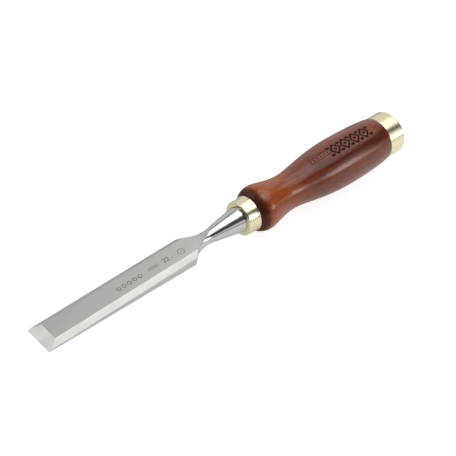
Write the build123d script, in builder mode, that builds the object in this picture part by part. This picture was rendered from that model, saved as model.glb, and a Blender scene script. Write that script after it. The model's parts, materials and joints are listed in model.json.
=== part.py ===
from build123d import *
import math
import os

# Bench chisel: a bevel-edged blade with a conical bolster, a turned wooden handle,
# a brass ferrule at the handle's front and a brass striking hoop at its butt.
#
# It is modelled as it lies on a bench: +X runs from the cutting edge to the butt, +Y is across
# the blade and +Z is up. It rests on its cutting edge and on the bead of the handle.
# The origin is on the bench, under the middle of the tool's length and width.

os.makedirs("parts", exist_ok=True)

# Driving dimensions in millimetres. Lengths along the tool start at the cutting edge.

# Blade
blade_width = 22.0
blade_length = 110.8            # to the shoulders
tip_thickness = 3.05            # of the top face carried on to the cutting edge
shoulder_thickness = 7.55
tip_land_height = 0.8           # upright side below the side bevel, at the cutting edge
face_width = 14.1               # top face between the two side bevels
cutting_bevel_angle = 24.0
axis_height = 4.62              # axis of neck and handle above the flat back
stock_allowance = 0.1           # of the turned stock past the corners of the ground blade

# Shoulders, neck and conical bolster
shoulder_slope = 0.89           # fall of the outline for each millimetre along the tool
neck_curve_x = 113.7            # where the shoulder's straight slope turns into the neck
neck_curve_radius = 8.6
neck_curve_reach = 3.5          # how far the curve holds the slope of the shoulder
cone_x = 130.6
cone_radius = 4.9
cone_curve_reach = 6.0          # and the slope of the cone
bolster_x = 154.8               # seat of the bolster on the ferrule
bolster_radius = 8.95
bolster_edge = 0.5
face_end_x = 119.8              # where the ground top face starts to run out into the neck
face_run_out = 1.3              # how far it has left its plane at the start of the cone
back_end_x = 126.5              # where the flat back ends, at the thinnest part of the neck

# Tang
tang_width = 7.0
tang_end_width = 3.6
tang_length = 78.0

# Ferrule, a cup with a hole for the tang
ferrule_length = 9.7
ferrule_radius = 12.05
ferrule_rim_radius = 12.5       # at the flared rear rim
ferrule_rim_length = 2.6
ferrule_wall = 1.1
ferrule_face = 1.2
ferrule_hole_radius = 5.2
ferrule_edge = 0.9
ferrule_rim_edge = 0.3

# Handle. A reach is how far the outline holds its direction on one side of a place.
seat_radius = 12.7              # of the wood where it meets the ferrule
seat_flare_run = 1.5
seat_flare_rise = 1.4
bead_x = 173.4
bead_radius = 16.2
bead_front_reach = 4.4
bead_rear_reach = 4.0
waist_x = 196.3
waist_radius = 12.65
waist_front_reach = 8.5
waist_rear_reach = 14.0
belly_x = 250.5
belly_radius = 18.1
belly_front_reach = 28.0
belly_rear_reach = 14.0
shoulder_x = 284.2              # where the wood starts to round over to the hoop
shoulder_radius = 16.7
shoulder_run = 7.5              # the outline falls this slowly as it comes to the shoulder
shoulder_fall = 0.9
hoop_x = 287.4
hoop_seat_radius = 16.1         # of the wood where it meets the hoop
butt_edge = 1.2

# Striking hoop
hoop_length = 14.2
hoop_front_radius = 15.9
hoop_butt_radius = 16.1
hoop_bore_radius = 13.6
hoop_front_edge = 0.35
hoop_butt_edge = 1.1
butt_stand_out = 0.7            # of the handle's end past the hoop

# Derived lengths
ferrule_end_x = bolster_x + ferrule_length
hoop_end_x = hoop_x + hoop_length
butt_x = hoop_end_x + butt_stand_out
taper = (shoulder_thickness - tip_thickness) / blade_length
stock_radius = math.hypot(blade_width / 2, axis_height) + stock_allowance
stock_end_x = neck_curve_x - (stock_radius - neck_curve_radius) / shoulder_slope
cone_slope = (bolster_radius - cone_radius) / (bolster_x - cone_x)
bevel_end_x = tip_thickness / (math.tan(math.radians(cutting_bevel_angle)) - taper)
bevel_run = (blade_width - face_width) / 2
bevel_fall = tip_thickness - tip_land_height

# Lying pose: the cutting edge and the bead touch the bench
tilt = math.atan2(bead_radius - axis_height, bead_x)
along = Vector(math.cos(tilt), 0, math.sin(tilt))
upward = Vector(-math.sin(tilt), 0, math.cos(tilt))
across = Vector(0, 1, 0)

# The lying tool reaches from the cutting edge to the lowest stretch of the butt's rounded rim
rim_x = butt_x - butt_edge
rim_radius = hoop_bore_radius - butt_edge
lying_length = rim_x * math.cos(tilt) + (rim_radius - axis_height) * math.sin(tilt) + butt_edge
cutting_edge = Vector(-lying_length / 2, 0, 0)  # its middle

# Working planes: the flat back, the tool's side view and the plane of the turned profiles
back = Plane(origin=cutting_edge, x_dir=along, z_dir=upward)
side = Plane(origin=cutting_edge, x_dir=along, z_dir=-across)
turning = Plane(origin=cutting_edge + upward * axis_height, x_dir=along, z_dir=-across)
tool_axis = Axis(turning.origin, along)


def section_plane(distance, height=0.0):
    """Plane square to the tool at a distance from the cutting edge: X across, Y upward."""
    return Plane(origin=cutting_edge + along * distance + upward * height, x_dir=across, z_dir=along)


def face_height(distance):
    """Height of the ground top face above the flat back."""
    return tip_thickness + taper * distance


# Blade: one forging, turned at the neck and bolster, then ground flat
with BuildPart() as blade:
    with BuildSketch(turning):
        with BuildLine():
            Polyline((0, 0), (0, stock_radius), (stock_end_x, stock_radius), (neck_curve_x, neck_curve_radius))
            Bezier(
                (neck_curve_x, neck_curve_radius),
                (neck_curve_x + neck_curve_reach, neck_curve_radius - neck_curve_reach * shoulder_slope),
                (cone_x - cone_curve_reach, cone_radius - cone_curve_reach * cone_slope),
                (cone_x, cone_radius),
            )
            Polyline((cone_x, cone_radius), (bolster_x, bolster_radius), (bolster_x, 0), (0, 0))
        make_face()
    revolve(axis=tool_axis)
    bolster_rim = blade.edges().filter_by(GeomType.CIRCLE).sort_by(tool_axis)[-1]
    fillet(bolster_rim, bolster_edge)

    # Side view: the flat back, the cutting bevel, and the top face that runs out into the neck
    with BuildSketch(side):
        with BuildLine():
            Polyline((0, 0), (bevel_end_x, face_height(bevel_end_x)), (face_end_x, face_height(face_end_x)))
            TangentArc(
                (face_end_x, face_height(face_end_x)),
                (cone_x, face_height(cone_x) + face_run_out),
                tangent=(1, taper),
            )
            Polyline(
                (cone_x, face_height(cone_x) + face_run_out),
                (cone_x, blade_width),
                (butt_x, blade_width),
                (butt_x, -blade_width),
                (back_end_x, -blade_width),
                (back_end_x, 0),
                (0, 0),
            )
        make_face()
    extrude(amount=blade_width, both=True, mode=Mode.INTERSECT)

    # Straight sides
    with BuildSketch(back):
        with Locations((butt_x / 2, 0)):
            Rectangle(butt_x, blade_width)
    extrude(amount=blade_width, both=True, mode=Mode.INTERSECT)

    # Side bevels, which keep one slope. What is ground away reaches past the side by the bevel's width
    waste_side = face_width / 2 + 2 * bevel_run
    waste_floor = tip_thickness - 2 * bevel_fall
    with BuildSketch(section_plane(0)):
        with BuildLine():
            Polyline(
                (face_width / 2, tip_thickness),
                (waste_side, waste_floor),
                (waste_side, blade_width),
                (face_width / 2, blade_width),
                close=True,
            )
        make_face()
        mirror(about=Plane.YZ)
    extrude(amount=face_end_x, dir=along + upward * taper, mode=Mode.SUBTRACT)

    # Tang
    with BuildSketch(section_plane(bolster_x, axis_height)):
        Rectangle(tang_width, tang_width)
    with BuildSketch(section_plane(bolster_x + tang_length, axis_height)):
        Rectangle(tang_end_width, tang_end_width)
    loft()
blade.part.label = "blade"
export_step(blade.part, "parts/blade.step")

# Ferrule
with BuildPart() as ferrule:
    with BuildSketch(turning):
        with BuildLine():
            Polyline(
                (bolster_x, ferrule_hole_radius),
                (bolster_x, ferrule_radius),
                (ferrule_end_x - ferrule_rim_length, ferrule_radius),
                (ferrule_end_x, ferrule_rim_radius),
                (ferrule_end_x, ferrule_radius - ferrule_wall),
                (bolster_x + ferrule_face, ferrule_radius - ferrule_wall),
                (bolster_x + ferrule_face, ferrule_hole_radius),
                close=True,
            )
        make_face()
    revolve(axis=tool_axis)
    circles = ferrule.edges().filter_by(GeomType.CIRCLE)
    fillet(circles.sort_by(SortBy.RADIUS)[-1], ferrule_rim_edge)
    circles = ferrule.edges().filter_by(GeomType.CIRCLE)
    fillet(circles.group_by(tool_axis)[0].sort_by(SortBy.RADIUS)[-1], ferrule_edge)
ferrule.part.label = "ferrule"
export_step(ferrule.part, "parts/ferrule.step")

# Handle: turned between the ferrule's stub and the hoop's seat, with a hole for the tang
with BuildPart() as handle:
    with BuildSketch(turning):
        with BuildLine():
            Polyline(
                (bolster_x + ferrule_face, 0),
                (bolster_x + ferrule_face, ferrule_radius - ferrule_wall),
                (ferrule_end_x, ferrule_radius - ferrule_wall),
                (ferrule_end_x, seat_radius),
            )
            Bezier(
                (ferrule_end_x, seat_radius),
                (ferrule_end_x + seat_flare_run, seat_radius + seat_flare_rise),
                (bead_x - bead_front_reach, bead_radius),
                (bead_x, bead_radius),
            )
            Bezier(
                (bead_x, bead_radius),
                (bead_x + bead_rear_reach, bead_radius),
                (waist_x - waist_front_reach, waist_radius),
                (waist_x, waist_radius),
            )
            Bezier(
                (waist_x, waist_radius),
                (waist_x + waist_rear_reach, waist_radius),
                (belly_x - belly_front_reach, belly_radius),
                (belly_x, belly_radius),
            )
            Bezier(
                (belly_x, belly_radius),
                (belly_x + belly_rear_reach, belly_radius),
                (shoulder_x - shoulder_run, shoulder_radius + shoulder_fall),
                (shoulder_x, shoulder_radius),
            )
            TangentArc(
                (shoulder_x, shoulder_radius),
                (hoop_x, hoop_seat_radius),
                tangent=(shoulder_run, -shoulder_fall),
            )
            Polyline(
                (hoop_x, hoop_seat_radius),
                (hoop_x, hoop_bore_radius),
                (butt_x, hoop_bore_radius),
                (butt_x, 0),
                (bolster_x + ferrule_face, 0),
            )
        make_face()
    revolve(axis=tool_axis)
    butt_rim = handle.edges().filter_by(GeomType.CIRCLE).sort_by(tool_axis)[-1]
    fillet(butt_rim, butt_edge)

    # Hole that the tang fills
    with BuildSketch(section_plane(bolster_x, axis_height)):
        Rectangle(tang_width, tang_width)
    with BuildSketch(section_plane(bolster_x + tang_length, axis_height)):
        Rectangle(tang_end_width, tang_end_width)
    loft(mode=Mode.SUBTRACT)
handle.part.label = "handle"
export_step(handle.part, "parts/handle.step")

# Striking hoop: a flared ring that keeps the butt from splitting
with BuildPart() as striking_hoop:
    with BuildSketch(turning):
        with BuildLine():
            Polyline(
                (hoop_x, hoop_bore_radius),
                (hoop_x, hoop_front_radius),
                (hoop_end_x, hoop_butt_radius),
                (hoop_end_x, hoop_bore_radius),
                close=True,
            )
        make_face()
    revolve(axis=tool_axis)
    circles = striking_hoop.edges().filter_by(GeomType.CIRCLE)
    fillet(circles.group_by(tool_axis)[-1].sort_by(SortBy.RADIUS)[-1], hoop_butt_edge)
    circles = striking_hoop.edges().filter_by(GeomType.CIRCLE)
    fillet(circles.group_by(tool_axis)[0].sort_by(SortBy.RADIUS)[-1], hoop_front_edge)
striking_hoop.part.label = "striking_hoop"
export_step(striking_hoop.part, "parts/striking_hoop.step")
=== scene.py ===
import json
import math

import bmesh
import bpy
from mathutils import Matrix, Vector


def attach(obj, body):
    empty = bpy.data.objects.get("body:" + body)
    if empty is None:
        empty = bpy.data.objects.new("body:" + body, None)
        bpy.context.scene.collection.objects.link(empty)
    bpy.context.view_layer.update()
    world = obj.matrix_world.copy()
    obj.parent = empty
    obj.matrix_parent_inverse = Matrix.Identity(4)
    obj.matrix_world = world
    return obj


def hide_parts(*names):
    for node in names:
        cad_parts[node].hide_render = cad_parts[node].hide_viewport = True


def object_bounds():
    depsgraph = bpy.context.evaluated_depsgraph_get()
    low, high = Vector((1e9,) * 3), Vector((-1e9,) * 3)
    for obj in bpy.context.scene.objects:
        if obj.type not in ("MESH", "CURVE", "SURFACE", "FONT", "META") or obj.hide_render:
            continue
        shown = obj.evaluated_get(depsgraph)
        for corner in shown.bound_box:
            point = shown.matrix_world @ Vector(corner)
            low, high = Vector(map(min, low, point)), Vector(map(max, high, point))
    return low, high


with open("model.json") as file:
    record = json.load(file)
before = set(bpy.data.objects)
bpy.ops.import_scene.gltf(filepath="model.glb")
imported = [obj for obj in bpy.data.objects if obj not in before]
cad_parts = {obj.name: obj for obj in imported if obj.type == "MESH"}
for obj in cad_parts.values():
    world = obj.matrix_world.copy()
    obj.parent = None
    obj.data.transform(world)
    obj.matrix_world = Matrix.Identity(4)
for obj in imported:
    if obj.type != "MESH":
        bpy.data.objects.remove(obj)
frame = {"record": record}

# A bench chisel lying on a pale floor: ground steel blade with a polished neck, pale brass
# ferrule and hoop, and a turned red-brown handle under varnish. Lengths are in metres,
# except inside the materials, whose patterns count in millimetres along the tool.

CAD_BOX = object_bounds()
MM = 0.001
MOUNTS = {mount["name"]: mount for mount in frame["record"]["mounts"]}

# The tool's own directions, read from the frame: along it, across it and up from its flat back
TIP = Vector(MOUNTS["cutting_edge"]["pos_m"])
ALONG = -Vector(MOUNTS["cutting_edge"]["axis"])
ACROSS = Vector((0, 1, 0))
UPWARD = ALONG.cross(ACROSS)
TILT = math.atan2(ALONG.z, ALONG.x)


def tool_point(distance, across, height):
    """A place given along the tool, across it and above its flat back, in millimetres."""
    return TIP + (ALONG * distance + ACROSS * across + UPWARD * height) * MM


# ---------------------------------------------------------------- camera

CAMERA_TARGET = tool_point(146.3, 0, 2.1)
CAMERA_AZIMUTH = math.radians(-45.32)
CAMERA_ELEVATION = math.radians(39.20)
CAMERA_ROLL = math.radians(5.17)
CAMERA_DISTANCE = 0.6453
CAMERA_LENS = 78.9


def direction(azimuth, elevation):
    """Away from the tool, from angles in radians. Azimuth 0 is in front of its near side."""
    level = math.cos(elevation)
    return Vector((math.sin(azimuth) * level, -math.cos(azimuth) * level, math.sin(elevation)))


def facing(away):
    """The turn that makes a camera or a light look back along a direction."""
    return away.to_track_quat("Z", "Y").to_matrix().to_4x4()


def add_camera():
    back = direction(CAMERA_AZIMUTH, CAMERA_ELEVATION)
    turn = facing(back) @ Matrix.Rotation(CAMERA_ROLL, 4, "Z")
    camera = bpy.data.objects.new("camera", bpy.data.cameras.new("camera"))
    camera.data.lens = CAMERA_LENS
    camera.data.clip_start = 0.01
    camera.matrix_world = Matrix.Translation(CAMERA_TARGET + back * CAMERA_DISTANCE) @ turn
    bpy.context.scene.collection.objects.link(camera)
    bpy.context.scene.camera = camera


# ---------------------------------------------------------------- shapes
# Points are in millimetres on the tool: distance from the cutting edge, across, height above the
# flat back. A turned profile's points are distance and radius about the tool's axis.

TOOL = Matrix.Translation(TIP) @ Matrix((ALONG * MM, ACROSS * MM, UPWARD * MM)).transposed().to_4x4()
AXIS_HEIGHT = 4.62
TURNS = 160                     # faces round a turned piece
ARC_STEPS = 6                   # faces across a rounded corner
CURVE_STEPS = 20                # faces along one curve of a profile

AXIS_RADIUS = 0.001             # of a turned profile where it ends on the axis
SHARP_ANGLE = math.radians(28)  # least angle of an edge that is shaded sharp

# Blade
WIDTH = 22.0
FACE_AT_TIP = 3.05              # height of the top face carried on to the cutting edge
FACE_RISE = 4.5 / 110.8         # over the length to the shoulders
FACE_WIDTH = 14.1               # between the two side bevels
FACE_END = 119.8                # where the top face starts to run out into the neck
LAND_AT_TIP = 0.8               # upright side below the side bevel, at the cutting edge
CUTTING_BEVEL = math.radians(24.0)
STOCK_ALLOWANCE = 0.1           # of the turned stock past the corners of the ground blade
SHOULDER_SLOPE = 0.89
NECK = (113.7, 8.6)
NECK_REACH = 3.5                # how far the curve holds the slope of the shoulder
CONE = (130.6, 4.9)
CONE_REACH = 6.0                # and the slope of the cone
BOLSTER = (154.8, 8.95)
BOLSTER_EDGE = 0.5
CONE_SLOPE = (BOLSTER[1] - CONE[1]) / (BOLSTER[0] - CONE[0])
RUN_OUT = 1.3                   # of the top face at the start of the cone
BACK_END = 126.5                # where the flat back ends, at the thinnest part of the neck
BEFORE_TIP = -1.0               # where the solids that cut the blade start
TANG_LENGTH = 78.0
TANG_WIDTHS = (7.0, 3.6)
TANG_ROOT = 0.5                 # how far it starts inside the bolster
SOFT_EDGE = 0.08                # taken off the long edges between ground faces
SOFT_ANGLE = math.radians(12)   # least angle of an edge that is softened
KEEN_LENGTH = 0.5               # edges this near the cutting edge stay sharp
FLAT_ANGLE = math.radians(0.5)  # ground faces that meet at less are one
LEAST_EDGE = 0.01

# Ferrule
FERRULE_END = 164.5
FERRULE_HOLE = 5.2
FERRULE_BORE = 10.95
FERRULE_FACE = 1.2              # thickness of its front face
FERRULE_RADIUS = 12.05
FERRULE_RIM = 12.5              # radius of the flared rear rim
FERRULE_RIM_LENGTH = 2.6
FERRULE_EDGES = (0.9, 0.3)      # rounding of the front edge and of the rim

# Handle. Reaches are how far the outline holds its direction before and after a place.
SEAT_RADIUS = 12.7              # of the wood where it meets the ferrule
SEAT_FLARE = (1.5, 1.4)
BEAD = (173.4, 16.2)
BEAD_REACHES = (4.4, 4.0)
WAIST = (196.3, 12.65)
WAIST_REACHES = (8.5, 14.0)
BELLY = (250.5, 18.1)
BELLY_REACHES = (28.0, 14.0)
SHOULDER = (284.2, 16.7)        # where the wood starts to round over to the hoop
SHOULDER_RUN = 7.5
SHOULDER_FALL = 0.9
ROUND_OVER = (285.9, 16.43)
HOOP_SEAT_RADIUS = 16.1         # of the wood's rim that the hoop stands against
BUTT_END = 302.3
BUTT_EDGE = 1.2

# Hoop
HOOP_START = 287.4
HOOP_END = 301.6
HOOP_BORE = 13.6
HOOP_RADII = (15.9, 16.1)       # at its front and at the butt
HOOP_EDGES = (0.35, 1.1)


def bezier(*controls):
    """Points of a cubic curve, without its last one, from its four control points."""
    points = []
    for step in range(CURVE_STEPS):
        t = step / CURVE_STEPS
        weights = ((1 - t) ** 3, 3 * t * (1 - t) ** 2, 3 * t ** 2 * (1 - t), t ** 3)
        points.append(tuple(
            sum(weight * point[axis] for weight, point in zip(weights, controls)) for axis in (0, 1)
        ))
    return points


def wave(start, end, reaches):
    """A curve between two places of a turned outline where it runs along the tool."""
    leave, arrive = reaches
    return bezier(start, (start[0] + leave, start[1]), (end[0] - arrive, end[1]), end)


def rounded(before, corner, after, radius):
    """Points of a round corner between two straight sides."""
    corner = Vector(corner)
    back = (Vector(before) - corner).normalized()
    ahead = (Vector(after) - corner).normalized()
    half = back.angle(ahead) / 2
    middle = corner + (back + ahead).normalized() * (radius / math.sin(half))
    first = corner + back * (radius / math.tan(half)) - middle
    last = corner + ahead * (radius / math.tan(half)) - middle
    return [
        tuple(middle + first.slerp(last, step / ARC_STEPS).normalized() * radius)
        for step in range(ARC_STEPS + 1)
    ]


def new_object(name, points, faces, materials):
    mesh = bpy.data.meshes.new(name)
    mesh.from_pydata(points, [], faces)
    for material in materials:
        mesh.materials.append(material)
    made = bpy.data.objects.new(name, mesh)
    bpy.context.scene.collection.objects.link(made)
    return made


def turned(name, profile, materials, closed=False):
    """A piece turned about the tool's axis.

    A closed profile makes a ring, and an open one starts and ends on the axis."""
    points = []
    for distance, radius in profile:
        for turn in range(TURNS):
            angle = math.tau * turn / TURNS
            points.append((distance, radius * math.sin(angle), AXIS_HEIGHT + radius * math.cos(angle)))
    faces = []
    for ring in range(len(profile) if closed else len(profile) - 1):
        following = (ring + 1) % len(profile)
        for turn in range(TURNS):
            beside = (turn + 1) % TURNS
            faces.append((
                ring * TURNS + turn, ring * TURNS + beside,
                following * TURNS + beside, following * TURNS + turn,
            ))
    if not closed:
        faces.append(tuple(reversed(range(TURNS))))
        faces.append(tuple(range(len(points) - TURNS, len(points))))
    return outward(new_object(name, points, faces, materials))


def prism(name, outline, spread, materials=()):
    """A solid of one side-view outline, spread evenly both ways across the tool."""
    near, far = [[(x, side * spread, z) for x, z in outline] for side in (-1, 1)]
    return loft(name, near, far, materials)


def loft(name, first, last, materials=()):
    """A solid between two outlines of as many points."""
    count = len(first)
    faces = [tuple(range(count)), tuple(reversed(range(count, 2 * count)))]
    faces += [((i + 1) % count, i, count + i, count + (i + 1) % count) for i in range(count)]
    return outward(new_object(name, first + last, faces, materials))


def outward(made):
    """Turns every face of a closed piece outwards."""
    shape = bmesh.new()
    shape.from_mesh(made.data)
    bmesh.ops.recalc_face_normals(shape, faces=shape.faces)
    shape.to_mesh(made.data)
    shape.free()
    return made


def shaped(target, tool, operation):
    """Cuts, keeps or joins with another solid, which is used up."""
    change = target.modifiers.new("change", "BOOLEAN")
    change.operation = operation
    change.object = tool
    change.solver = "EXACT"
    change.material_mode = "TRANSFER"
    seen = bpy.context.evaluated_depsgraph_get()
    mesh = bpy.data.meshes.new_from_object(target.evaluated_get(seen), depsgraph=seen)
    target.modifiers.clear()
    target.data = mesh
    bpy.data.objects.remove(tool)
    return target


def finish_piece(piece, node=None):
    """Smooths a piece, puts it in its place on the tool and hides the CAD part that it stands for."""
    for face in piece.data.polygons:
        face.use_smooth = True
    piece.data.set_sharp_from_angle(angle=SHARP_ANGLE)
    piece.data.transform(TOOL)
    weighted = piece.modifiers.new("weighted_normals", "WEIGHTED_NORMAL")
    weighted.keep_sharp = True
    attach(piece, "root")
    if node:
        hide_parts(node)


def square(distance, width):
    """Corners of a square section of the tang."""
    half = width / 2
    corners = ((-half, -half), (half, -half), (half, half), (-half, half))
    return [(distance, y, AXIS_HEIGHT + z) for y, z in corners]


def tang():
    start = BOLSTER[0] - TANG_ROOT
    end = BOLSTER[0] + TANG_LENGTH
    return loft("tang", square(start, TANG_WIDTHS[0]), square(end, TANG_WIDTHS[1]))


def face_height(distance):
    """Height of the ground top face above the flat back."""
    return FACE_AT_TIP + FACE_RISE * distance


def blade_stock(polished):
    """The round stock with the shoulders, the neck and the conical bolster."""
    stock = math.hypot(WIDTH / 2, AXIS_HEIGHT) + STOCK_ALLOWANCE
    profile = [(0, AXIS_RADIUS), (0, stock), (NECK[0] - (stock - NECK[1]) / SHOULDER_SLOPE, stock)]
    profile += bezier(
        NECK,
        (NECK[0] + NECK_REACH, NECK[1] - NECK_REACH * SHOULDER_SLOPE),
        (CONE[0] - CONE_REACH, CONE[1] - CONE_REACH * CONE_SLOPE),
        CONE,
    )
    profile += [CONE] + rounded(CONE, BOLSTER, (BOLSTER[0], 0), BOLSTER_EDGE)
    profile += [(BOLSTER[0], AXIS_RADIUS)]
    return turned("chisel_blade", profile, [polished])


def side_view(ground):
    """What the blade keeps, seen from the side: flat back, cutting bevel and top face."""
    bevel_end = FACE_AT_TIP / (math.tan(CUTTING_BEVEL) - FACE_RISE)
    outline = [(0, 0), (bevel_end, face_height(bevel_end))]
    # The top face runs out into the neck
    for step in range(CURVE_STEPS + 1):
        past = (CONE[0] - FACE_END) * step / CURVE_STEPS
        rise = RUN_OUT * (step / CURVE_STEPS) ** 2
        outline.append((FACE_END + past, face_height(FACE_END + past) + rise))
    outline += [(CONE[0], WIDTH), (BUTT_END, WIDTH), (BUTT_END, -WIDTH)]
    outline += [(BACK_END, -WIDTH), (BACK_END, 0)]
    return prism("side_view", outline, WIDTH, [ground])


def bevel_waste(side, ground):
    """What a side bevel takes away, on side -1 or 1. Its slope is the same all along."""
    inner = FACE_WIDTH / 2
    outer = WIDTH - inner
    fall = 2 * (FACE_AT_TIP - LAND_AT_TIP)
    ends = [
        [
            (distance, side * inner, face_height(distance)),
            (distance, side * outer, face_height(distance) - fall),
            (distance, side * outer, WIDTH),
            (distance, side * inner, WIDTH),
        ]
        for distance in (BEFORE_TIP, FACE_END)
    ]
    return loft("bevel_waste", *ends, [ground])


def make_blade(polished, ground):
    """One solid: the ground blade, the polished neck and bolster, and the tang."""
    blade = shaped(blade_stock(polished), side_view(ground), "INTERSECT")
    whole = [(BEFORE_TIP, -WIDTH), (BUTT_END, -WIDTH), (BUTT_END, WIDTH), (BEFORE_TIP, WIDTH)]
    blade = shaped(blade, prism("sides", whole, WIDTH / 2, [ground]), "INTERSECT")
    for side in (-1, 1):
        blade = shaped(blade, bevel_waste(side, ground), "DIFFERENCE")
    soften(blade, [index for index, m in enumerate(blade.data.materials) if m == ground])
    blade = shaped(blade, tang(), "UNION")
    finish_piece(blade, "blade")


def soften(blade, ground_slots):
    """Takes the sharpness off the long edges between ground faces, but not off the cutting edge."""
    shape = bmesh.new()
    shape.from_mesh(blade.data)

    def between_ground(edge):
        return all(face.material_index in ground_slots for face in edge.link_faces)

    bmesh.ops.dissolve_limit(
        shape,
        angle_limit=FLAT_ANGLE,
        verts=shape.verts,
        edges=[edge for edge in shape.edges if between_ground(edge)],
        delimit={"MATERIAL"},
    )
    edges = [
        edge for edge in shape.edges
        if len(edge.link_faces) == 2
        and between_ground(edge)
        and edge.calc_face_angle() > SOFT_ANGLE
        and max(vert.co.x for vert in edge.verts) > KEEN_LENGTH
    ]
    bmesh.ops.bevel(shape, geom=edges, offset=SOFT_EDGE, segments=2, profile=0.5, affect="EDGES")
    bmesh.ops.dissolve_degenerate(shape, dist=LEAST_EDGE, edges=shape.edges)
    # The solid is closed, so a face with an open edge is a sliver left at a corner
    slivers = [face for face in shape.faces if any(edge.is_boundary for edge in face.edges)]
    bmesh.ops.delete(shape, geom=slivers, context="FACES")
    shape.to_mesh(blade.data)
    shape.free()


def make_ferrule(brass_material):
    face = BOLSTER[0]
    hole = (face, FERRULE_HOLE)
    front = (face, FERRULE_RADIUS)
    flare = (FERRULE_END - FERRULE_RIM_LENGTH, FERRULE_RADIUS)
    rim = (FERRULE_END, FERRULE_RIM)
    bore = (FERRULE_END, FERRULE_BORE)
    profile = [hole] + rounded(hole, front, flare, FERRULE_EDGES[0])
    profile += [flare] + rounded(flare, rim, bore, FERRULE_EDGES[1])
    profile += [bore, (face + FERRULE_FACE, FERRULE_BORE), (face + FERRULE_FACE, FERRULE_HOLE)]
    finish_piece(turned("brass_ferrule", profile, [brass_material], closed=True), "ferrule")


def handle_curve():
    """The handle's outline from the ferrule to its round shoulder."""
    seat = (FERRULE_END, SEAT_RADIUS)
    flare = (seat[0] + SEAT_FLARE[0], seat[1] + SEAT_FLARE[1])
    curve = bezier(seat, flare, (BEAD[0] - BEAD_REACHES[0], BEAD[1]), BEAD)
    curve += wave(BEAD, WAIST, (BEAD_REACHES[1], WAIST_REACHES[0]))
    curve += wave(WAIST, BELLY, (WAIST_REACHES[1], BELLY_REACHES[0]))
    past_belly = (BELLY[0] + BELLY_REACHES[1], BELLY[1])
    before_shoulder = (SHOULDER[0] - SHOULDER_RUN, SHOULDER[1] + SHOULDER_FALL)
    curve += bezier(BELLY, past_belly, before_shoulder, SHOULDER)
    return curve + [SHOULDER]


def handle_radius(distance):
    """Radius of the handle's outline at a distance from the cutting edge."""
    curve = handle_curve()
    for (start, low), (end, high) in zip(curve, curve[1:]):
        if start <= distance <= end:
            return low + (high - low) * (distance - start) / (end - start)
    raise ValueError(f"{distance} mm is off the handle's curve")


def make_handle(wood):
    stub = BOLSTER[0] + FERRULE_FACE
    hoop_seat = (HOOP_START, HOOP_BORE)
    butt = (BUTT_END, HOOP_BORE)
    profile = [(stub, AXIS_RADIUS), (stub, FERRULE_BORE), (FERRULE_END, FERRULE_BORE)]
    profile += handle_curve()
    profile += [ROUND_OVER, (HOOP_START, HOOP_SEAT_RADIUS), hoop_seat]
    profile += rounded(hoop_seat, butt, (BUTT_END, 0), BUTT_EDGE)
    profile += [(BUTT_END, AXIS_RADIUS)]
    handle = turned("turned_handle", profile, [wood])
    finish_piece(shaped(handle, tang(), "DIFFERENCE"), "handle")


def make_hoop(brass_material):
    bore_front = (HOOP_START, HOOP_BORE)
    front = (HOOP_START, HOOP_RADII[0])
    rear = (HOOP_END, HOOP_RADII[1])
    bore_rear = (HOOP_END, HOOP_BORE)
    profile = [bore_front] + rounded(bore_front, front, rear, HOOP_EDGES[0])
    profile += rounded(front, rear, bore_rear, HOOP_EDGES[1]) + [bore_rear]
    finish_piece(turned("brass_hoop", profile, [brass_material], closed=True), "striking_hoop")


# ---------------------------------------------------------------- marks
# Plain ornaments and the size number stand where the tool is marked. Each is a ribbon: a line
# with a width, laid on the surface as a thin closed strip.

MARK_RISE = 0.012               # how far a mark stands proud
MARK_ROOT = 0.05                # and how deep it reaches
MARK_STEP = 0.4                 # longest face along a ribbon
MARK_LEAST = 0.04               # width of a ribbon's pointed end

# A ribbon's section, in shares of its half width: the top follows the surface, the bottom is hidden
MARK_SECTION = [(share, MARK_RISE) for share in (1.0, 0.5, 0.0, -0.5, -1.0)]
MARK_SECTION += [(-1.0, -MARK_ROOT), (1.0, -MARK_ROOT)]

# Marks on the blade: where the middle of each is, along and across, and its sizes
DIAMOND_ROW = (65.6, -1.0)
DIAMOND_STEP = 4.0
DIAMOND_SIZE = (3.0, 3.2)
DIAMOND_LINE = 0.42
BARS = (84.2, -0.6)
BAR_LENGTH = 7.6
BAR_GAP = 1.5
BAR_LINE = 0.4
SIZE_NUMBER = (91.9, -2.2)      # foot of the first figure
FIGURE_HEIGHT = 2.9
FIGURE_STEP = 2.5
DASH = [(5.6, 0.35), (7.0, 0.35)]
DASH_LINE = 0.5
RING = (105.7, -1.3)
RING_RADIUS = 2.3
RING_SIDES = 24
RING_BAR = 2.0
RING_LINE = 0.3

# Marks on the handle: along the tool and in degrees from the top
ORNAMENT = (254.5, 12.0)
ORNAMENT_STEP = 9.4
ORNAMENT_DIAMOND = (7.8, 8.8)
ORNAMENT_LINE = 1.4
SEED_STEP = 0.8                 # a quarter of the length of the seed in each diamond
LEAF_STEP = 1.1                 # the same for a leaf
LEAF_OUT = 2.7                  # how far the leaves' ends are from the middle line
LEAF_BULGE = 0.2
LEAF_WIDTHS = [0.0, 1.5, 2.3, 1.5, 0.0]
BORDER = (227.5, 8.5)
BORDER_LENGTH = 20.0
BORDER_WIDTH = 4.0
BORDER_LINE = 0.5
DOT_STEP = 3.0
DOT_REACH = 0.9
DOT_WIDTHS = [0, 1.6, 0]


def on_face(along, across):
    """A function that lays a mark's u, v on the blade's top face: along the tool and across it."""
    def lay(u, v, lift):
        return (along + u, across + v, face_height(along + u) + lift)
    return lay


def on_handle(along, turn):
    """The same for the belly of the handle, where v runs round it, from a turn in degrees."""
    def lay(u, v, lift):
        radius = handle_radius(along + u) + lift
        angle = math.radians(turn) - v / BELLY[1]
        return (along + u, -radius * math.sin(angle), AXIS_HEIGHT + radius * math.cos(angle))
    return lay


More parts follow.
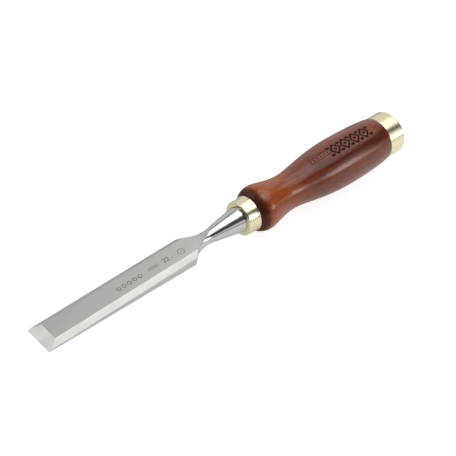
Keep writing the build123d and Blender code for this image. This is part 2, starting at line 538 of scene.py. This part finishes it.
def middle_line(line, widths, closed):
    """Points and widths along a ribbon, no further apart than its longest face."""
    knots = list(zip(line, widths))
    following = knots[1:] + knots[:1] if closed else knots[1:]
    middle = []
    for (start, wide), (end, other) in zip(knots, following):
        start, end = Vector(start), Vector(end)
        steps = max(1, math.ceil((end - start).length / MARK_STEP))
        for step in range(steps):
            middle.append((start.lerp(end, step / steps), wide + (other - wide) * step / steps))
    if not closed:
        middle.append((Vector(line[-1]), widths[-1]))
    return middle


def ribbon(line, width, lay, closed=False):
    """Points and faces of one ribbon. Width is one number, or one for each point of the line."""
    widths = width if isinstance(width, list) else [width] * len(line)
    middle = middle_line(line, widths, closed)
    points = []
    for index, (point, wide) in enumerate(middle):
        before = middle[index - 1][0] if closed or index else point
        after = middle[(index + 1) % len(middle)][0] if closed or index < len(middle) - 1 else point
        aside = (after - before).orthogonal().normalized() * max(wide, MARK_LEAST) / 2
        for share, lift in MARK_SECTION:
            corner = point + aside * share
            points.append(lay(corner.x, corner.y, lift))
    sides = len(MARK_SECTION)
    faces = []
    for index in range(len(middle) if closed else len(middle) - 1):
        here = index * sides
        there = (index + 1) % len(middle) * sides
        for side in range(sides):
            beside = (side + 1) % sides
            faces.append((here + side, here + beside, there + beside, there + side))
    if not closed:
        faces.append(tuple(reversed(range(sides))))
        faces.append(tuple(range(len(points) - sides, len(points))))
    return points, faces


def arc(middle, radius, start, end, steps):
    """Points of an arc between two angles in degrees."""
    angles = [math.radians(start + (end - start) * step / steps) for step in range(steps + 1)]
    return [(middle[0] + radius * math.cos(a), middle[1] + radius * math.sin(a)) for a in angles]


def diamond(middle, length, height):
    """Corners of a diamond that stands on its point."""
    u, v = middle
    return [(u - length / 2, v), (u, v + height / 2), (u + length / 2, v), (u, v - height / 2)]


def joined(name, ribbons, material):
    """One object of many ribbons."""
    points, faces = [], []
    for more_points, more_faces in ribbons:
        first = len(points)
        points += more_points
        faces += [tuple(first + corner for corner in face) for face in more_faces]
    return outward(new_object(name, points, faces, [material]))


def figure_two(left, height, lay):
    """The number 2, of a height, standing on v = 0."""
    bow = height * 0.29
    foot = 2.1 * bow
    stroke = height * 0.15
    line = arc((left + bow, height - bow), bow, 165, -25, 9)
    line += [(left, 0), (left + foot, 0)]
    return ribbon(line, stroke, lay)


def make_blade_marks(material):
    """A row of diamonds, two bars, the size number and a ring on the top face."""
    ribbons = []
    row = on_face(*DIAMOND_ROW)
    for place in range(-2, 3):
        outline = diamond((place * DIAMOND_STEP, 0), *DIAMOND_SIZE)
        ribbons.append(ribbon(outline, DIAMOND_LINE, row, closed=True))
    bars = on_face(*BARS)
    for edge in (-BAR_GAP / 2, BAR_GAP / 2):
        ribbons.append(ribbon([(-BAR_LENGTH / 2, edge), (BAR_LENGTH / 2, edge)], BAR_LINE, bars))
    size = on_face(*SIZE_NUMBER)
    for left in (0, FIGURE_STEP):
        ribbons.append(figure_two(left, FIGURE_HEIGHT, size))
    ribbons.append(ribbon(DASH, DASH_LINE, size))
    disc = on_face(*RING)
    ring = arc((0, 0), RING_RADIUS, 0, 360 - 360 / RING_SIDES, RING_SIDES - 1)
    ribbons.append(ribbon(ring, RING_LINE, disc, closed=True))
    ribbons.append(ribbon([(-RING_BAR / 2, 0), (RING_BAR / 2, 0)], RING_LINE, disc))
    finish_piece(joined("blade_marks", ribbons, material))


def make_burned_ornament(material):
    """A row of diamonds and leaves on the belly of the handle, and a dotted border before it."""
    ribbons = []
    lay = on_handle(*ORNAMENT)
    for place in (-1.5, -0.5, 0.5, 1.5):
        middle = place * ORNAMENT_STEP
        outline = diamond((middle, 0), *ORNAMENT_DIAMOND)
        seed = [(middle - 2 * SEED_STEP + SEED_STEP * i, 0) for i in range(5)]
        ribbons.append(ribbon(outline, ORNAMENT_LINE, lay, closed=True))
        ribbons.append(ribbon(seed, LEAF_WIDTHS, lay))
    for place in range(-2, 3):
        middle = place * ORNAMENT_STEP
        for side in (-1, 1):
            leaf = [
                (middle + LEAF_STEP * i, side * (LEAF_OUT + LEAF_BULGE * (4 - i * i)))
                for i in range(-2, 3)
            ]
            ribbons.append(ribbon(leaf, LEAF_WIDTHS, lay))
    border = on_handle(*BORDER)
    end = BORDER_LENGTH / 2
    for edge in (-BORDER_WIDTH / 2, BORDER_WIDTH / 2):
        ribbons.append(ribbon([(-end, edge), (end, edge)], BORDER_LINE, border))
    for place in range(-3, 4):
        dot = [(place * DOT_STEP + reach, 0) for reach in (-DOT_REACH, 0, DOT_REACH)]
        ribbons.append(ribbon(dot, DOT_WIDTHS, border))
    finish_piece(joined("burned_ornament", ribbons, material))


# ---------------------------------------------------------------- materials


class Shader:
    """A material built from nodes, with short ways to add them."""

    def __init__(self, name):
        self.material = bpy.data.materials.new(name)
        self.material.use_nodes = True
        self.tree = self.material.node_tree
        self.tree.nodes.clear()
        self.surface = self.tree.nodes.new("ShaderNodeBsdfPrincipled")
        output = self.tree.nodes.new("ShaderNodeOutputMaterial")
        self.tree.links.new(self.surface.outputs[0], output.inputs["Surface"])

    def put(self, socket, value):
        """Gives a socket a number, a colour or another node's output."""
        if isinstance(value, bpy.types.NodeSocket):
            self.tree.links.new(value, socket)
        elif socket.type == "RGBA" and len(value) == 3:
            socket.default_value = (*value, 1)
        else:
            socket.default_value = value

    def finish(self, **inputs):
        """Sets the surface's own inputs, named with _ for a space."""
        for name, value in inputs.items():
            self.put(self.surface.inputs[name.replace("_", " ")], value)
        return self.material

    def math(self, operation, *values):
        node = self.tree.nodes.new("ShaderNodeMath")
        node.operation = operation
        for socket, value in zip(node.inputs, values):
            self.put(socket, value)
        return node.outputs[0]

    def place(self):
        """Where the surface is on the tool: millimetres along, across and above the flat back."""
        here = self.tree.nodes.new("ShaderNodeTexCoord").outputs["Object"]
        node = self.tree.nodes.new("ShaderNodeMapping")
        node.vector_type = "TEXTURE"
        self.put(node.inputs["Vector"], here)
        node.inputs["Location"].default_value = TIP
        node.inputs["Rotation"].default_value = (0, -TILT, 0)
        node.inputs["Scale"].default_value = (MM, MM, MM)
        return node.outputs[0]

    def parts(self, vector):
        """A vector's three numbers."""
        node = self.tree.nodes.new("ShaderNodeSeparateXYZ")
        self.put(node.inputs[0], vector)
        return node.outputs[0], node.outputs[1], node.outputs[2]

    def combine(self, x=0.0, y=0.0, z=0.0):
        node = self.tree.nodes.new("ShaderNodeCombineXYZ")
        for socket, value in zip(node.inputs, (x, y, z)):
            self.put(socket, value)
        return node.outputs[0]

    def stretch(self, vector, sizes, shift=(0, 0, 0)):
        """The same place counted in cells of these sizes, each way."""
        node = self.tree.nodes.new("ShaderNodeMapping")
        self.put(node.inputs["Vector"], vector)
        node.inputs["Location"].default_value = shift
        node.inputs["Scale"].default_value = [1 / size for size in sizes]
        return node.outputs[0]

    def noise(self, vector, detail, roughness):
        """Noise about one cell large, from 0 to 1."""
        node = self.tree.nodes.new("ShaderNodeTexNoise")
        self.put(node.inputs["Vector"], vector)
        node.inputs["Scale"].default_value = 1
        node.inputs["Detail"].default_value = detail
        node.inputs["Roughness"].default_value = roughness
        return node.outputs["Fac"]

    def span(self, value, low, high, to_low=0.0, to_high=1.0):
        """A value's stretch from low to high turned into another, smoothly, and held outside it."""
        node = self.tree.nodes.new("ShaderNodeMapRange")
        node.interpolation_type = "SMOOTHSTEP"
        for socket, number in zip(node.inputs, (value, low, high, to_low, to_high)):
            self.put(socket, number)
        return node.outputs[0]

    def mix(self, share, first, second):
        """From the first colour at a share of 0 to the second at 1."""
        node = self.tree.nodes.new("ShaderNodeMix")
        node.data_type = "RGBA"
        self.put(node.inputs["Factor"], share)
        self.put(node.inputs[6], first)
        self.put(node.inputs[7], second)
        return node.outputs[2]

    def facing_blade(self):
        """How squarely the surface faces the blade, where it cuts across the wood's fibres."""
        facing = self.tree.nodes.new("ShaderNodeTexCoord").outputs["Normal"]
        node = self.tree.nodes.new("ShaderNodeVectorMath")
        node.operation = "DOT_PRODUCT"
        self.put(node.inputs[0], facing)
        node.inputs[1].default_value = ALONG
        return self.math("MULTIPLY", node.outputs["Value"], -1.0)

    def bump(self, height, depth):
        """Height from 0 to 1, of a depth in millimetres."""
        node = self.tree.nodes.new("ShaderNodeBump")
        node.inputs["Distance"].default_value = depth * MM
        self.put(node.inputs["Height"], height)
        return node.outputs[0]


def ground_steel():
    """Matt grey with fine lengthwise grinding lines and faint warm and cool clouds."""
    s = Shader("ground_steel")
    place = s.place()
    lines = s.noise(s.stretch(place, (7.0, 0.12, 0.12)), 3.0, 0.6)
    cloud = s.noise(s.stretch(place, (16.0, 7.0, 7.0)), 3.0, 0.55)
    warmth = s.noise(s.stretch(place, (9.0, 6.0, 6.0), (3.1, 8.4, 5.2)), 2.0, 0.5)
    colour = s.mix(s.span(warmth, 0.35, 0.65), (0.605, 0.605, 0.572), (0.640, 0.605, 0.578))
    colour = s.mix(s.span(cloud, 0.3, 0.7, 0.0, 0.35), colour, (0.53, 0.53, 0.52))
    fine = s.span(lines, 0.3, 0.7, 0.36, 0.44)
    return s.finish(
        Base_Color=colour,
        Metallic=1.0,
        Roughness=s.math("ADD", fine, s.span(cloud, 0.3, 0.7, -0.02, 0.03)),
        Normal=s.bump(lines, 0.004),
    )


def polished_steel():
    """Bright, with faint lines round the tool from the polishing wheel."""
    s = Shader("polished_steel")
    place = s.place()
    turned_lines = s.noise(s.stretch(place, (0.10, 14.0, 14.0)), 2.0, 0.5)
    smear = s.noise(s.stretch(place, (2.5, 2.5, 2.5), (11.0, 2.0, 7.0)), 4.0, 0.6)
    fine = s.span(turned_lines, 0.3, 0.7, 0.16, 0.21)
    return s.finish(
        Base_Color=s.mix(s.span(smear, 0.3, 0.7), (0.66, 0.66, 0.66), (0.60, 0.60, 0.605)),
        Metallic=1.0,
        Roughness=s.math("ADD", fine, s.span(smear, 0.4, 0.7, 0.0, 0.04)),
        Normal=s.bump(turned_lines, 0.0003),
    )


def etched():
    """Dark grey etching in the ground face."""
    s = Shader("etched_mark")
    grain = s.noise(s.stretch(s.place(), (0.3, 0.3, 0.3)), 3.0, 0.6)
    return s.finish(
        Base_Color=s.mix(s.span(grain, 0.3, 0.7), (0.07, 0.068, 0.064), (0.14, 0.135, 0.128)),
        Metallic=0.5,
        Roughness=s.span(grain, 0.3, 0.7, 0.5, 0.65),
        Normal=s.bump(grain, 0.004),
    )


def burned():
    """Charred wood, with hardly any gloss."""
    s = Shader("burned_mark")
    grain = s.noise(s.stretch(s.place(), (2.5, 0.25, 0.25)), 3.0, 0.6)
    return s.finish(
        Base_Color=s.mix(s.span(grain, 0.3, 0.7), (0.022, 0.008, 0.005), (0.050, 0.014, 0.008)),
        Roughness=s.span(grain, 0.3, 0.7, 0.6, 0.8),
        Specular_IOR_Level=0.05,
        Normal=s.bump(grain, 0.03),
    )


def brass():
    """Pale polished brass with faint turning lines and a little tarnish."""
    s = Shader("pale_brass")
    place = s.place()
    turned_lines = s.noise(s.stretch(place, (0.12, 12.0, 12.0)), 2.0, 0.5)
    smear = s.noise(s.stretch(place, (3.0, 3.0, 3.0)), 4.0, 0.6)
    tarnish = s.noise(s.stretch(place, (5.0, 6.0, 6.0), (4.0, 1.0, 9.0)), 4.0, 0.65)
    colour = s.mix(s.span(smear, 0.35, 0.7), (0.92, 0.85, 0.60), (0.87, 0.79, 0.52))
    colour = s.mix(s.span(tarnish, 0.55, 0.8, 0.0, 0.4), colour, (0.72, 0.61, 0.34))
    fine = s.span(turned_lines, 0.3, 0.7, 0.19, 0.26)
    return s.finish(
        Base_Color=colour,
        Metallic=1.0,
        Roughness=s.math("ADD", fine, s.span(smear, 0.4, 0.7, 0.0, 0.05)),
        Normal=s.bump(turned_lines, 0.0002),
    )


def wood_colours(s, place, fibre, pores, wander):
    """Growth rings, fibres, clouds and pores, warmer towards the blade, darker where fibres end with
    painted shade on the faces toward the blade, and a painted dark reflection band along the belly's
    near side.
    """
    x, y, z = s.parts(place)
    cloud = s.noise(s.stretch(place, (24.0, 9.0, 9.0), (2.0, 6.0, 3.0)), 2.0, 0.5)

    # Growth rings about a pith that lies outside the handle and slants a little to it
    ring_y = s.math("ADD", y, s.math("MULTIPLY_ADD", x, 0.05, 22.0))
    ring_z = s.math("ADD", z, s.math("MULTIPLY_ADD", x, -0.04, 30.0))
    squares = [s.math("MULTIPLY", side, side) for side in (ring_y, ring_z)]
    radius = s.math("SQRT", s.math("ADD", *squares))
    radius = s.math("ADD", radius, s.math("MULTIPLY", wander, 16.0))
    ring = s.noise(s.combine(s.math("DIVIDE", radius, 1.5), s.math("DIVIDE", x, 40.0)), 3.0, 0.6)
    late = s.span(ring, 0.35, 0.65)

    colour = s.mix(late, (0.262, 0.047, 0.010), (0.155, 0.024, 0.006))
    colour = s.mix(s.span(fibre, 0.40, 0.70, 0.0, 0.7), colour, (0.320, 0.068, 0.016))
    colour = s.mix(s.span(cloud, 0.35, 0.75, 0.0, 0.5), colour, (0.130, 0.020, 0.006))
    warm = s.mix(late, (0.500, 0.122, 0.015), (0.340, 0.064, 0.008))
    colour = s.mix(s.span(x, 180.0, 225.0, 0.75, 0.0), colour, warm)

    # Faces toward the blade go nearly black: partly end grain, partly painted shade
    blotch = s.noise(s.stretch(place, (2.5, 2.5, 2.5), (7.0, 3.0, 5.0)), 3.0, 0.6)
    end_grain_and_shade = s.math("MULTIPLY_ADD", blotch, 0.5, s.math("ADD", s.facing_blade(), -0.25))
    colour = s.mix(s.span(end_grain_and_shade, 0.05, 0.50, 0.0, 0.92), colour, (0.050, 0.012, 0.006))
    colour = s.mix(s.span(pores, 0.60, 0.72, 0.0, 0.6), colour, (0.050, 0.010, 0.004))

    # Painted shade: a dark band along the belly's near side that stands in for the varnish's dark
    # reflection there
    level = s.math("MULTIPLY_ADD", wander, 9.0, s.math("ADD", z, s.math("MULTIPLY", x, -0.012)))
    painted_dark_band = s.math("MULTIPLY", s.span(level, 16.6, 18.4), s.span(level, 20.0, 22.0, 1.0, 0.0))
    painted_dark_band = s.math("MULTIPLY", painted_dark_band, s.span(x, 205.0, 225.0, 0.0, 0.75))
    painted_dark_band = s.math("MULTIPLY", painted_dark_band, s.span(y, -6.0, -4.0, 1.0, 0.0))
    return s.mix(painted_dark_band, colour, (0.085, 0.012, 0.004))


def varnished_wood():
    """Turned red-brown hardwood under a gloss coat that follows its pores and waves a little."""
    s = Shader("varnished_hardwood")
    place = s.place()
    wander = s.noise(s.stretch(place, (60.0, 14.0, 14.0)), 3.0, 0.5)
    fibre = s.noise(s.stretch(place, (14.0, 0.55, 0.55)), 4.0, 0.6)
    pores = s.noise(s.stretch(place, (3.2, 0.22, 0.22), (5.0, 2.0, 1.0)), 2.0, 0.5)
    waves = s.noise(s.stretch(place, (6.0, 3.0, 3.0), (1.0, 4.0, 2.0)), 2.0, 0.5)
    open_pores = s.span(pores, 0.60, 0.72, 0.6, 0.0)
    height = s.math("ADD", s.math("MULTIPLY", fibre, 0.4), open_pores)
    coat = s.math("ADD", s.math("MULTIPLY", waves, 0.7), s.math("MULTIPLY", height, 0.3))
    return s.finish(
        Base_Color=wood_colours(s, place, fibre, pores, wander),
        Roughness=s.span(fibre, 0.3, 0.7, 0.42, 0.58),
        Specular_IOR_Level=0.1,
        Coat_Weight=s.span(s.facing_blade(), 0.16, 0.36, 0.92, 0.25),
        Coat_IOR=1.5,
        Coat_Roughness=0.18,
        Coat_Normal=s.bump(coat, 0.05),
        Normal=s.bump(height, 0.02),
    )


# ---------------------------------------------------------------- floor and light

FLOOR_SIZE = 6.0
FLOOR_SEEN = 0.85               # brightness of the floor and the backdrop to the camera alone
BACKDROP_SEEN = 0.88
BACKDROP_LIGHT = 0.04           # brightness of the backdrop as a light
GLOW = 0.38                     # of the floor on the near side


def add_floor():
    half = FLOOR_SIZE / 2
    corners = [(-half, -half, 0), (half, -half, 0), (half, half, 0), (-half, half, 0)]
    mesh = bpy.data.meshes.new("floor")
    mesh.from_pydata(corners, [], [(0, 1, 2, 3)])
    floor = bpy.data.objects.new("floor", mesh)
    floor.location.z = CAD_BOX[0][2]
    bpy.context.scene.collection.objects.link(floor)
    mesh.materials.append(floor_material())


def floor_material():
    """Pale and matt, lit from within on the near side, as a sweep is that curves up to its light.

    The camera sees it brighter still, as in an overexposed picture."""
    s = Shader("pale_floor")
    across = s.parts(s.tree.nodes.new("ShaderNodeTexCoord").outputs["Object"])[1]
    glow = s.span(across, -0.02, 0.06, GLOW, 0.0)
    seen = s.tree.nodes.new("ShaderNodeLightPath").outputs["Is Camera Ray"]
    more = s.math("MULTIPLY", seen, s.math("SUBTRACT", FLOOR_SEEN, glow))
    return s.finish(
        Base_Color=(0.65, 0.65, 0.65),
        Roughness=1.0,
        Specular_IOR_Level=0.0,
        Emission_Color=(1.0, 1.0, 1.0),
        Emission_Strength=s.math("ADD", glow, more),
    )


def add_softbox(name, azimuth, elevation, distance, width, height, radiance, shape="RECTANGLE"):
    """A soft light that looks at the middle of the tool from a direction, given in degrees."""
    away = direction(math.radians(azimuth), math.radians(elevation))
    light = bpy.data.lights.new(name, "AREA")
    light.shape = shape
    light.size = width
    light.size_y = height
    # A one-sided panel of radiance L gives off pi x L watts from each square metre.
    area = math.pi / 4 * width ** 2 if shape == "DISK" else width * height
    light.energy = math.pi * radiance * area
    box = bpy.data.objects.new(name, light)
    box.matrix_world = Matrix.Translation(away * distance) @ facing(away)
    box.visible_camera = False
    bpy.context.scene.collection.objects.link(box)


def add_softboxes():
    """Azimuth, elevation, distance, width, height and radiance of each."""
    add_softbox("top_softbox", 90, 71, 1.0, 1.14, 1.14, 1.45, "DISK")
    add_softbox("upper_softbox", 20, 82, 1.0, 0.48, 0.48, 2.3, "DISK")
    add_softbox("low_softbox", 20, 15, 1.2, 0.62, 0.32, 0.8)
    add_softbox("side_softbox", 40, 21, 1.2, 0.40, 0.62, 0.9)
    add_softbox("butt_softbox", 54, 9, 1.2, 0.50, 0.24, 0.6)
    add_softbox("bright_softbox", 34, 17, 1.1, 0.36, 0.26, 4.2)
    add_softbox("far_softbox", 152, 25, 1.5, 3.2, 1.25, 0.68)
    add_softbox("left_softbox", 218, 44, 1.0, 0.55, 0.6, 1.65)


def add_world():
    """A backdrop that is pale to the camera and dim as a light."""
    world = bpy.data.worlds.new("studio")
    world.use_nodes = True
    tree = world.node_tree
    tree.nodes.clear()
    dim = tree.nodes.new("ShaderNodeBackground")
    dim.inputs["Color"].default_value = (BACKDROP_LIGHT, BACKDROP_LIGHT, BACKDROP_LIGHT, 1)
    bright = tree.nodes.new("ShaderNodeBackground")
    bright.inputs["Color"].default_value = (BACKDROP_SEEN, BACKDROP_SEEN, BACKDROP_SEEN, 1)
    seen = tree.nodes.new("ShaderNodeLightPath")
    choice = tree.nodes.new("ShaderNodeMixShader")
    output = tree.nodes.new("ShaderNodeOutputWorld")
    tree.links.new(seen.outputs["Is Camera Ray"], choice.inputs["Fac"])
    tree.links.new(dim.outputs[0], choice.inputs[1])
    tree.links.new(bright.outputs[0], choice.inputs[2])
    tree.links.new(choice.outputs[0], output.inputs["Surface"])
    bpy.context.scene.world = world


add_camera()
add_floor()
add_softboxes()
add_world()
bpy.context.scene.view_settings.view_transform = "Standard"

brass_material = brass()
make_blade(polished_steel(), ground_steel())
make_ferrule(brass_material)
make_handle(varnished_wood())
make_hoop(brass_material)
make_blade_marks(etched())
make_burned_ornament(burned())
